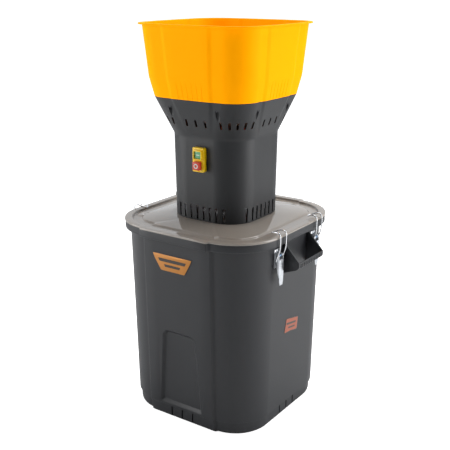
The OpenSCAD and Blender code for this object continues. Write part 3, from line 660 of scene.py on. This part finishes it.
def column_level(z, inset=0.0):
    """The outline of the column or its flared collar at height z, moved in by the inset."""
    t = max(0.0, (z - COLLAR_Z) / (SEAM_Z - COLLAR_Z))
    if z <= COLLAR_Z:
        a = COL_A + (COL_TOP_A - COL_A) * (z - PLATEAU) / (COLLAR_Z - PLATEAU)
    else:
        a = COL_TOP_A + (SEAM_A - COL_TOP_A) * t
    proud = SEAM_PANEL * t
    return (z, a - inset, COL_Q + (SEAM_Q - COL_Q) * t, proud, proud, 31 + 21 * t, 6, 0)


def four_ways(tool_maker):
    """The tools of one side, turned to all four sides."""
    tools = []
    for k in range(4):
        tools += [turned(tool, 90 * k) for tool in tool_maker()]
    return tools


def foot_slots():
    """Eight stepped slots in the foot of one side."""
    tools = []
    for i in range(8):
        x = (i - 3.5) * 17
        foot, step, head, narrow, wide = PLATEAU + 3.1, 490, 505, 2.3, 3.0
        outline = [
            (x - narrow, foot), (x + narrow, foot), (x + narrow, step), (x + wide, step + 1),
            (x + wide, head), (x - wide, head), (x - wide, step + 1), (x - narrow, step),
        ]
        outline = rounded_outline(outline, [0, 0, 0, 0, 1.2, 1.2, 0, 0])
        tools.append(prism("slot", outline, -COL_TOP_A - 6, -COL_A + 12))
    return tools


def collar_vent(x, y, angle):
    """A round-ended upright slot through the collar, pointing outward along the angle."""
    outline = rounded_outline(rectangle(-2.75, 2.75, 684.5, 700.5), 2.2)
    return turned(prism("vent", outline, -20, 14), angle + 90, (x, y, 0))


def collar_vents():
    """Three slots in one flat of the collar and five round its corner."""
    level = column_level(692)
    a, q = level[1], level[2]
    r = a - q
    tools = [collar_vent(x, -a, -90) for x in (-25, 0, 25)]
    for f in (12.5, 29.5, 45, 60.5, 77.5):
        c, s = math.cos(math.radians(f)), math.sin(math.radians(f))
        tools.append(collar_vent(q + r * c, -q - r * s, -f))
    return tools


def screw_wells():
    """Half-open wells that the hopper screws sit in, with the clearance hole above each."""
    tools = []
    for s in (-1, 1):
        stops = ((690, WELL_R), (WELL_TOP, WELL_R), (WELL_TOP, SCREW_R), (SEAM_Z + 7, SCREW_R))
        rings = []
        for z, r in stops:
            turn = round_turn(40)
            rings.append([(s * WELL_X + r * math.cos(f), r * math.sin(f) - WELL_Y, z) for f in turn])
        tools.append(lofted("well", rings))
    return tools


def screw_bosses():
    """What is left round the wells when the collar is hollowed."""
    return [disc("boss", (s * WELL_X, -WELL_Y), 7, 700, SEAM_Z + 4) for s in (-1, 1)]


def make_housing():
    """The hollow column and collar with their wells, slots, vents and the cuts at the back."""
    outer_z = [PLATEAU + 0.05, PLATEAU + 1.2, COLLAR_Z - 5, COLLAR_Z, COLLAR_Z + 5]
    outer_z += [672, 680, 690, 700, 710, 720, 730, SEAM_Z - 0.6]
    outer = [column_level(z) for z in outer_z]
    outer[0] = column_level(PLATEAU + 0.05, 0.7)
    top = column_level(SEAM_Z - 0.05, 0.6)
    housing = lofted("motor_column", [ring(level) for level in outer + [top]])
    inner_z = (PLATEAU + 3, COLLAR_Z, 690, 715, SEAM_Z - 0.05)
    inner = [column_level(z, COL_WALL) for z in inner_z]
    inner.append((SEAM_Z + 2,) + inner[-1][1:])
    hollow = lofted("hollow", [ring(level) for level in inner])
    boolean(hollow, joined("bosses", four_ways(screw_bosses)))
    boolean(housing, hollow)
    boolean(housing, disc("foot_hole", (0, 0), FOOT_R, PLATEAU - 2, PLATEAU + 4, sides=96))
    boolean(housing, joined("wells", four_ways(screw_wells)))
    boolean(housing, joined("slots", four_ways(foot_slots)))
    boolean(housing, joined("vents", four_ways(collar_vents)))
    gland_x = (low("cable_gland", 0) + high("cable_gland", 0)) / 2
    gland_z = (low("cable_gland", 2) + high("cable_gland", 2)) / 2
    back = [
        disc("gland_hole", (gland_x, gland_z), 9, COL_A - 8, COL_A + 8, "xz"),
        block(
            "shutter_slot",
            (low("feed_shutter", 0) - 0.7, 100, low("feed_shutter", 2) + 9.5),
            (high("feed_shutter", 0) + 0.7, 150, high("feed_shutter", 2) + 3),
        ),
    ]
    boolean(housing, joined("back_tools", back), sharp=30)
    return settle(housing, HEAD, "motor_housing", ["motor_housing"])


# ---------------------------------------------------------------- hopper

RIM_Z = high("hopper", 2)
LIP_A = high("hopper", 0) - 3
HOPPER_WALL = 3
BREAK_Z = 786
BREAK_A = 139.4


def make_hopper():
    """A tapered bowl with a turned-out lip, a sloped floor and a round throat, and its ribs."""
    w = HOPPER_WALL
    edge_a = LIP_A - 9
    throat_y = (low("feed_chute", 1) + high("feed_chute", 1)) / 2
    throat_z = SEAM_Z + 0.6
    throat_r = 13
    levels = [
        (SEAM_Z + 0.05, SEAM_A - 0.1, SEAM_Q, 3, 3, 53, 7, 0),
        (756, 133.3, 76, 3, 3, 54, 7, 0),
        (774, 136.9, 79.5, 3, 3, 55, 7, 0),
        (BREAK_Z, BREAK_A, 81.2, 3, 3, 56, 7, 0),
        (RIM_Z - 12, edge_a - 0.6, 86, 3, 3, 61, 7, 0),
        (RIM_Z - 3, edge_a + 0.4, 86, 3, 3, 61, 7, 0),
        (RIM_Z - 3, LIP_A, 86, 3, 3, 61, 7, 0),
        (RIM_Z, LIP_A, 86, 3, 3, 61, 7, 0),
        (RIM_Z, edge_a - w + 1, 86, 3, 3, 61, 7, 0),
        (BREAK_Z, BREAK_A - w, 81.2, 3, 3, 56, 7, 0),
        (776, 137.2 - w, 79.5, 3, 3, 55, 7, 0),
        (throat_z + 8, throat_r + 5, 0, 0, 0, 3, 1, throat_y),
        (throat_z + 5, throat_r, 0, 0, 0, 3, 1, throat_y),
        (throat_z, throat_r, 0, 0, 0, 3, 1, throat_y),
        (throat_z, throat_r + 8, 0, 0, 0, 3, 1, throat_y),
        (772, 136.4 - w, 79.2, 3, 3, 55, 7, 0),
        (SEAM_Z + 0.05, SEAM_A - w, SEAM_Q, 3, 3, 53, 7, 0),
    ]
    radii = [0.4, 8, 4, 5, 6, 1.6, 1.0, 1.3, 2.2, 5, 4, 3, 0.6, 0, 0, 2, 0]
    rings = [ring(level) for level in softened(levels, radii, 4)]
    shell = lofted("hopper_bowl", rings, closed=True, sharp=40)
    hopper = joined("hopper_shell", [shell] + four_ways(hopper_ribs), sharp=40)
    return settle(hopper, HEAD, "hopper", ["hopper"])


def hopper_ribs():
    """Six faint ribs that fan out up the lower part of one flat."""
    stops = [(SEAM_Z + 1, SEAM_A + 0.15), (756, 133.3), (774, 136.9), (BREAK_Z - 1, 139.2)]
    ribs = []
    for i in range(6):
        rings = []
        for z, a in stops:
            x = (i - 2.5) * 12.5 * a / 131
            y = -(a + SEAM_PANEL)
            crest = y - (0.45 if z < BREAK_Z - 2 else 0.05)
            sunk = y + 0.5
            rings.append([(x - 1.1, sunk, z), (x - 0.4, crest, z), (x + 0.4, crest, z), (x + 1.1, sunk, z)])
        ribs.append(lofted("rib", rings, sharp=60))
    return ribs


# ---------------------------------------------------------------- switch


def make_switch():
    """The case with its raised guard and two windows, and the buttons in them."""
    x0, x1 = low("switch_base", 0), high("switch_base", 0)
    z0, z1 = low("switch_base", 2), high("switch_base", 2)
    back = high("switch_base", 1)
    front = low("switch_base", 1) + 4
    mid = (x0 + x1) / 2
    outline = rounded_outline(rectangle(x0, x1, z0, z1), [1.5, 3.5, 2.5, 2.5])
    base = bevelled(prism("base", outline, front, back), 0.9, 3)
    guard_lo, guard_hi = low("start_button", 2) - 3, high("start_button", 2) + 3
    guard_outline = rounded_outline(rectangle(mid - 12, mid + 12, guard_lo, guard_hi), 2.2)
    guard = bevelled(prism("guard", guard_outline, front - 4, front + 2), 0.8, 3)
    boolean(base, guard, "UNION")
    windows = []
    gap = 0.4
    for node in ("start_button", "stop_button"):
        near = (low(node, 0) - gap, front - 12, low(node, 2) - gap)
        far = (high(node, 0) + gap, back - 1.5, high(node, 2) + gap)
        windows.append(block("window", near, far))
    boolean(base, joined("windows", windows))
    base.name = base.data.name = "switch_case"
    settle(base, HEAD, "switch_base", ["switch_base"])
    make_button("start_button", 0.9)
    make_button("stop_button", 1.3)


def make_button(node, edge):
    """A push button with its generic on or off mark."""
    x0, x1 = low(node, 0), high(node, 0)
    z0, z1 = low(node, 2), high(node, 2)
    y = low(node, 1)
    outline = rounded_outline(rectangle(x0, x1, z0, z1), 1.2)
    button = bevelled(prism(node + "_cap", outline, y, high(node, 1)), edge, 4)
    settle(button, node, node, [node])
    x, z = (x0 + x1) / 2, (z0 + z1) / 2
    proud, sunk = y - 0.08, y + 0.3
    if node == "start_button":
        dash = rounded_outline(rectangle(x - 4.8, x + 4.8, z - 1, z + 1), 0.5)
        mark = prism("start_mark", dash, proud, sunk)
    else:
        mark = disc("stop_mark", (x, z), 5.6, proud, sunk, "xz", 48)
        boolean(mark, disc("inside", (x, z), 3.3, y - 3, y + 3, "xz", 48))
    settle(mark, node, node, material=PALE_PRINT)


# ---------------------------------------------------------------- latches

PIN_X, PIN_Z = 195.5, 421
BAIL_X, BAIL_Z = 193, 409
LEVER_FACE = 200.6
LATCH_Y = 80
RIVET_DOME = ((-1, 2), (0.0, 2), (0.02, 3.4), (0.45, 3.35), (0.95, 2.9), (1.35, 2.0), (1.5, 0.8))


def latch_place(k):
    """(turn about Z, distance along the side) of latch k: +X front, +X back, -X front, -X back."""
    side = 0 if k < 2 else 180
    return side, (-LATCH_Y if k in (0, 3) else LATCH_Y)


def at_latch(obj, k):
    """Moves a piece made at y = 0 on the +X side to latch k."""
    side, y = latch_place(k)
    turned(obj, 0, (0, y, 0))
    return turned(obj, side)


def make_bracket(k):
    """Riveted back plate with two ears folded out round the pin."""
    z0, z1 = 392, 434
    b0, b1 = bin_half(z0) + 0.05, bin_half(z1) + 0.05
    plate_t = 1.4
    plate = prism("plate", [(b0, z0), (b0 + plate_t, z0), (b1 + plate_t, z1), (b1, z1)], -9, 9)
    parts = [bevelled(plate, 0.35, 2)]
    ear = [
        (b0 + 1, PIN_Z - 12), (PIN_X - 1, PIN_Z - 4.6), (PIN_X + 3.4, PIN_Z - 2.4),
        (PIN_X + 3.4, PIN_Z + 2.4), (PIN_X, PIN_Z + 4), (b1 + 1, PIN_Z + 9),
    ]
    ear = rounded_outline(ear, [0, 1, 2, 2, 2, 0])
    for s in (-1, 1):
        parts.append(bevelled(prism("ear", ear, s * 5.2, s * 6.8), 0.25, 2))
    bracket = at_latch(joined(f"bracket_{k + 1}", parts), k)
    return settle(bracket, HEAD, "latch_zinc", [f"latch_bracket_{k + 1}"])


def make_lever(k):
    """Pressed channel: a broad web with two flanges that run out towards its foot."""
    top, foot, t, half = 412.5, 354, 1.4, 9.4
    left = [(-half, top), (-half, 395), (-7.5, foot + 8), (-5.5, foot)]
    bends = [1.6, 6, 3, 1.5]
    web = rounded_outline(left + [(-y, z) for y, z in reversed(left)], bends + bends[::-1])
    parts = [bevelled(prism("web", web, LEVER_FACE - t, LEVER_FACE, "yz"), 0.4, 3)]
    rib = rounded_outline(rectangle(-2.6, 2.6, 364, 400), 2.4)
    parts.append(bevelled(prism("rib", rib, LEVER_FACE - 0.5, LEVER_FACE + 0.45, "yz"), 0.4, 3))
    flange = [
        (LEVER_FACE - 0.4, top), (LEVER_FACE - 0.4, 374), (LEVER_FACE - t, 372),
        (BAIL_X - 2.6, BAIL_Z - 4), (BAIL_X - 3.4, BAIL_Z), (PIN_X - 3.6, PIN_Z - 2),
        (PIN_X - 3.4, PIN_Z + 2.5), (PIN_X, PIN_Z + 4), (PIN_X + 3.4, PIN_Z + 2.5),
    ]
    flange = rounded_outline(flange, [1, 0, 0, 3, 1.5, 1.5, 1.5, 1.5, 1.5])
    for s in (-1, 1):
        parts.append(bevelled(prism("flange", flange, s * (half - t), s * half), 0.3, 2))
    lever = at_latch(joined(f"lever_{k + 1}", parts), k)
    return settle(lever, f"lever_{k + 1}", "latch_zinc", [f"latch_lever_{k + 1}"])


def make_bail(k):
    """One bent wire: out of the lever, up beside it, and over the lid's rim to a pointed hook."""
    hook_z = LID_TOP + 2.95
    arm = [
        (BAIL_X, 7.4, BAIL_Z), (BAIL_X, 12, BAIL_Z), (203.2, 12, 437), (204, 12, 464),
        (203, 12, 470), (200, 12, 474), (194, 11.5, 475.2), (186, 10, 473.6),
        (179, 6.5, 470.0), (174.6, 1.6, hook_z),
    ]
    bends = [0, 2.6, 6, 6, 4, 4, 5, 5, 4, 1.2]
    path = arm + [(x, -y, z) for x, y, z in reversed(arm)]
    path = bent_path(path, bends + bends[::-1])
    bail = at_latch(wire(f"bail_{k + 1}", path, 1.48), k)
    return settle(bail, f"bail_{k + 1}", "latch_wire", [f"latch_bail_{k + 1}"])


def make_pins_and_rivets():
    """The pivot pins with their rollers, and two rivet heads on each bracket."""
    pins, rivets = [], []
    for k in range(4):
        pin = [
            disc("pin", (PIN_X, PIN_Z), 2, -10.2, 10.2, "xz", 28),
            disc("roller", (PIN_X, PIN_Z), 3.6, -5.05, 5.05, "xz", 32),
        ]
        pins += [at_latch(bevelled(part, 0.35, 2), k) for part in pin]
        for z in (397, 431):
            x = bin_half(z) + 1.5
            dome = []
            for out, r in RIVET_DOME:
                dome.append([(x + out, r * math.cos(f), z + r * math.sin(f)) for f in round_turn(24)])
            rivets.append(at_latch(lofted("rivet", dome), k))
    settle(joined("pivot_pins", pins), HEAD, "latch_pins", ["latch_pins"])
    settle(joined("rivet_heads", rivets), HEAD, "latch_zinc", ["latch_rivets"])


# ---------------------------------------------------------------- badge and side label


def face_plate(name, outline, start, end):
    """A thin plate on the front face between two heights above it."""
    rings = [[on_face(x, h, -d) for x, h in outline] for d in (start, end)]
    return lofted(name, rings)


def shrunk(points, by):
    """The polygon moved inward all round."""
    pts = [np.array(p, float) for p in points]
    centre = sum(pts) / len(pts)
    out = []
    for i, p in enumerate(pts):
        a, b = pts[i - 1] - p, pts[(i + 1) % len(pts)] - p
        a, b = a / np.linalg.norm(a), b / np.linalg.norm(b)
        inward = a + b
        if np.linalg.norm(inward) < 0.15:
            inward = np.array([-a[1], a[0]])
        inward /= np.linalg.norm(inward)
        if inward.dot(centre - p) < 0:
            inward = -inward
        half = math.sqrt(max(0.05, (1 - a.dot(b)) / 2))
        out.append(tuple(p + inward * by / half))
    return out


def make_badge():
    """A dark-edged plate with an orange face and two plain dark bars."""
    outline = [(-66, 411), (-60, 398), (-43, 372), (23, 372), (38, 398), (44, 411)]
    edge = rounded_outline(outline, [3, 4, 3, 3, 4, 3])
    plate = bevelled(face_plate("badge_plate", edge, 0.05, 1.0), 0.3, 2)
    settle(plate, HEAD, "badge", ["badge"], DARK_PRINT)
    inner = rounded_outline(shrunk(outline, 0.9), [2.4, 4, 2.4, 2.4, 4, 2.4])
    settle(bevelled(face_plate("badge_face", inner, 0.9, 1.2), 0.15, 2), HEAD, "badge")
    bars = [
        rounded_outline([(-50, 401), (28, 401), (24, 393.5), (-46, 393.5)], 1.5),
        rounded_outline([(-34, 388), (12, 388), (9, 382), (-31, 382)], 1.2),
    ]
    bars = joined("badge_bars", [face_plate("bar", bar, 1.0, 1.24) for bar in bars])
    settle(bars, HEAD, "badge", material=DARK_PRINT)


def side_plate(name, outline, start, end):
    """A thin plate on the leaning +X face, drawn along Y and height."""
    a0, c, s = bin_half(0), math.cos(LEAN), math.sin(LEAN)
    rings = [[(a0 + s * h + c * d, u, c * h - s * d) for u, h in outline] for d in (start, end)]
    return lofted(name, rings)


def make_side_label():
    """A dark-edged film on the +X side with two plain dark bars."""
    outline = [(-32, 214), (-24, 250), (4, 244), (31, 238), (26, 206), (-4, 212)]
    edge = bevelled(side_plate("label_edge", rounded_outline(outline, 3), 0.05, 0.4), 0.1, 2)
    settle(edge, HEAD, "side_label", ["side_label"], DARK_PRINT)
    inner = rounded_outline(shrunk(outline, 1.8), 2.4)
    settle(side_plate("label_face", inner, 0.3, 0.5), HEAD, "side_label")
    bars = [
        [(-22, 238), (20, 231), (19, 226), (-23, 233)],
        [(-14, 226), (16, 221), (15, 217), (-15, 222)],
    ]
    bars = joined("label_bars", [side_plate("bar", rounded_outline(bar, 1), 0.4, 0.56) for bar in bars])
    settle(bars, HEAD, "side_label", material=DARK_PRINT)


# ---------------------------------------------------------------- build

make_bin()
for sign in (1, -1):
    make_handle(sign)
make_lid()
make_housing()
make_hopper()
make_switch()
for latch in range(4):
    make_bracket(latch)
    make_lever(latch)
    make_bail(latch)
make_pins_and_rivets()
make_badge()
make_side_label()

SLOT_OF = {part["node"]: part["material_slot"] for part in frame["record"]["subparts"]}
for node, obj in frame["nodes"].items():
    if node not in LEFT_OUT:
        obj.data.materials.clear()
        obj.data.materials.append(FINISHES[SLOT_OF[node]])
        bevel_edges(obj, 0.25, 2, 40)

# ---------------------------------------------------------------- floor, light and camera

lo, hi = cad_bounds
FLOOR = 9000
floor = new_object("floor", [(x, y, 0) for x, y in rectangle(-FLOOR, FLOOR, -FLOOR, FLOOR)], [[0, 1, 2, 3]])
PAPER = finish("floor_paper", (0.93, 0.93, 0.93), 0.9, mottle=0.01, grain=0.02, specular=0.1)
floor.data.materials.append(PAPER)
paper = PAPER.node_tree
sight = paper.nodes.new("ShaderNodeLightPath")
glow = paper.nodes.new("ShaderNodeMath")
glow.operation = "MULTIPLY"
glow.inputs[1].default_value = 0.85
paper.links.new(sight.outputs["Is Camera Ray"], glow.inputs[0])
paper.links.new(glow.outputs["Value"], paper.nodes["Principled BSDF"].inputs["Emission Strength"])
paper.nodes["Principled BSDF"].inputs["Emission Color"].default_value = (1, 1, 1, 1)

world = bpy.data.worlds.new("studio")
SCENE.world = world
world.use_nodes = True
tree = world.node_tree
background = tree.nodes["Background"]
fill = tree.nodes.new("ShaderNodeBackground")
mix = tree.nodes.new("ShaderNodeMixShader")
path = tree.nodes.new("ShaderNodeLightPath")
background.inputs["Color"].default_value = (0.92, 0.96, 1, 1)
fill.inputs["Color"].default_value = (1, 1, 1, 1)
fill.inputs["Strength"].default_value = 1.1
# The room is bright behind the object and dim behind the camera.
direction = tree.nodes.new("ShaderNodeTexCoord")
facing = tree.nodes.new("ShaderNodeVectorMath")
facing.operation = "DOT_PRODUCT"
facing.inputs[1].default_value = (-0.57, 0.82, 0.05)
room = tree.nodes.new("ShaderNodeMapRange")
room.interpolation_type = "SMOOTHSTEP"
room.inputs["From Min"].default_value = -0.2
room.inputs["From Max"].default_value = 0.9
room.inputs["To Min"].default_value = 0.10
room.inputs["To Max"].default_value = 0.95
tree.links.new(direction.outputs["Generated"], facing.inputs[0])
tree.links.new(facing.outputs["Value"], room.inputs["Value"])
tree.links.new(room.outputs["Result"], background.inputs["Strength"])
tree.links.new(path.outputs["Is Camera Ray"], mix.inputs["Fac"])
tree.links.new(background.outputs["Background"], mix.inputs[1])
tree.links.new(fill.outputs["Background"], mix.inputs[2])
tree.links.new(mix.outputs["Shader"], tree.nodes["World Output"].inputs["Surface"])

centre = Vector(((lo[0] + hi[0]) / 2, (lo[1] + hi[1]) / 2, (lo[2] + hi[2]) / 2))


def softbox(name, direction, distance, size, watts):
    """A rectangular soft light aimed at the middle of the object."""
    light = bpy.data.lights.new(name, "AREA")
    light.shape = "RECTANGLE"
    light.size, light.size_y = size
    light.energy = watts
    obj = bpy.data.objects.new(name, light)
    SCENE.collection.objects.link(obj)
    obj.location = centre + Vector(direction).normalized() * distance
    obj.rotation_euler = (centre - obj.location).to_track_quat("-Z", "Y").to_euler()


softbox("light_right", (0.92, 0.42, 0.25), 2.6, (1.6, 2.4), 60)
softbox("light_left", (-0.78, -0.62, 0.25), 2.6, (1.6, 2.4), 48)
softbox("light_top", (0.05, 0.35, 1.0), 2.4, (2.2, 2.2), 45)

camera = bpy.data.objects.new("camera", bpy.data.cameras.new("camera"))
SCENE.collection.objects.link(camera)
camera.location = (1.0238, -1.4774, 0.9886)
camera.rotation_euler = Vector((-0.5457, 0.7846, -0.2943)).to_track_quat("-Z", "Y").to_euler()
camera.data.sensor_width = 36
camera.data.lens = 63.7
camera.data.clip_end = 50
SCENE.camera = camera
SCENE.view_settings.view_transform = "Standard"
